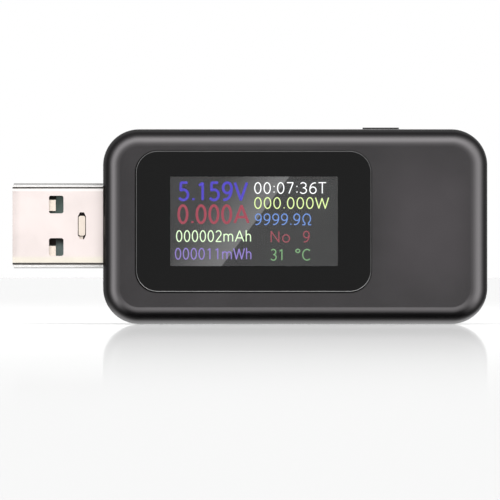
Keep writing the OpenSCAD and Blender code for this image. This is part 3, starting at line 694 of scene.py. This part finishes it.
# Brightness by degrees off the display's own axis: over the object and at its sides, and under it
ABOVE = ((0, 0.93), (2.5, 0.93), (6, 1.1), (12, 1.7), (25, 3.6), (36, 6.2), (46, 7.2), (56, 5.6), (64, 3.1),
         (74, 1.1), (84, 0.4), (98, 0.2), (115, 0.4), (135, 0.4), (155, 0.05), (166, 1.3), (180, 1.35))
BELOW = ((0, 0.93), (2.5, 0.93), (6, 2.4), (12, 4.6), (20, 3.2), (30, 1.8), (38, 0.4), (46, 0.02), (60, 0.0),
         (72, 0.02), (84, 0.3), (96, 0.9), (108, 2.2), (125, 2.4), (145, 1.1), (166, 1.3), (180, 1.35))
# The brightness that a ramp's full level stands for
FULL = 8.0


def make_world():
    """Plain soft studio light: a bright ring round the display's own axis, dimmer behind and below."""
    world = bpy.data.worlds.new("studio")
    bpy.context.scene.world = world
    world.use_nodes = True
    n = Nodes(world.node_tree)
    parts = n.add("ShaderNodeSeparateXYZ")
    n.put(parts.inputs[0], n.add("ShaderNodeTexCoord").outputs["Generated"])
    x, y, z = parts.outputs
    angle = n.math("DIVIDE", n.math("ARCCOSINE", n.math("MULTIPLY", y, -1.0)), math.pi)
    angle = n.math("MULTIPLY", angle, n.smooth(x, 0.0, 0.9, 1.0, 0.79))
    above = n.ramp(angle, [(degrees / 180, level / FULL) for degrees, level in ABOVE])
    below = n.ramp(angle, [(degrees / 180, level / FULL) for degrees, level in BELOW])
    off_axis = n.math("SQRT", n.math("SUBTRACT", 1.0001, n.math("MULTIPLY", y, y)))
    up = n.smooth(n.math("DIVIDE", z, off_axis), -0.97, -0.25)
    level = n.math("MULTIPLY", n.mix(up, below, above), n.smooth(x, 0.0, 0.8, FULL, FULL * 0.8))
    path = n.add("ShaderNodeLightPath").outputs
    fill = n.both(path["Is Diffuse Ray"], n.smooth(y, 0.1, 0.7, 0.0, 1.5))
    level = n.math("ADD", level, fill)
    background = n.add("ShaderNodeBackground")
    n.put(background.inputs["Color"], n.mix(path["Is Camera Ray"], level, (1, 1, 1, 1)))
    n.put(n.add("ShaderNodeOutputWorld").inputs["Surface"], background.outputs[0])


def floor_material():
    """A pale matt surface, polished enough near the origin to mirror the object faintly."""
    mat = bpy.data.materials.new("floor")
    mat.use_nodes = True
    n = Nodes(mat.node_tree)
    matt = n.add("ShaderNodeBsdfDiffuse")
    matt.inputs["Color"].default_value = (0.426, 0.426, 0.426, 1)
    gloss = n.add("ShaderNodeBsdfAnisotropic")
    gloss.inputs["Color"].default_value = (1, 1, 1, 1)
    gloss.inputs["Roughness"].default_value = 0.022
    x, y, z = n.object_xyz()
    away = n.math("SQRT", n.math("ADD", n.both(x, x), n.both(y, y)))
    near = n.smooth(away, 1.1, 0.0)
    grazing = n.add("ShaderNodeFresnel").outputs[0]
    mix = n.add("ShaderNodeMixShader")
    n.put(mix.inputs[0], n.both(n.math("POWER", near, 1.6), grazing, grazing, 0.42))
    n.put(mix.inputs[1], matt.outputs[0])
    n.put(mix.inputs[2], gloss.outputs[0])
    n.put(n.add("ShaderNodeOutputMaterial").inputs["Surface"], mix.outputs[0])
    return mat


def make_floor(radius=3, gap=0.02 * MM):
    """A round floor, a hair below the object."""
    bpy.ops.mesh.primitive_circle_add(vertices=96, radius=radius, fill_type="NGON", location=(0, 0, -gap))
    floor = bpy.context.object
    floor.name = "floor"
    floor.data.materials.append(floor_material())
    floor.visible_glossy = False


def make_camera(distance=1.8, margin=1.0525, nearer=4 * MM, sideways=0.03 * MM, eye_height=10.46 * MM):
    """Square on to the display from far away, as a long lens sees it.

    The frame is margin times the object's length at a plane that is nearer than the object's middle.
    """
    low, high = cad_box
    camera = bpy.data.cameras.new("camera")
    camera.sensor_width = 36
    camera.lens = camera.sensor_width * (distance - nearer) / ((high.x - low.x) * margin)
    camera.clip_start, camera.clip_end = 0.01, 20
    eye = bpy.data.objects.new("camera", camera)
    bpy.context.scene.collection.objects.link(eye)
    eye.location = ((low.x + high.x) / 2 + sideways, -distance, eye_height)
    eye.rotation_euler = (math.radians(90), 0, 0)
    bpy.context.scene.camera = eye


make_world()
make_floor()
make_camera()
bpy.context.scene.view_settings.view_transform = "Standard"
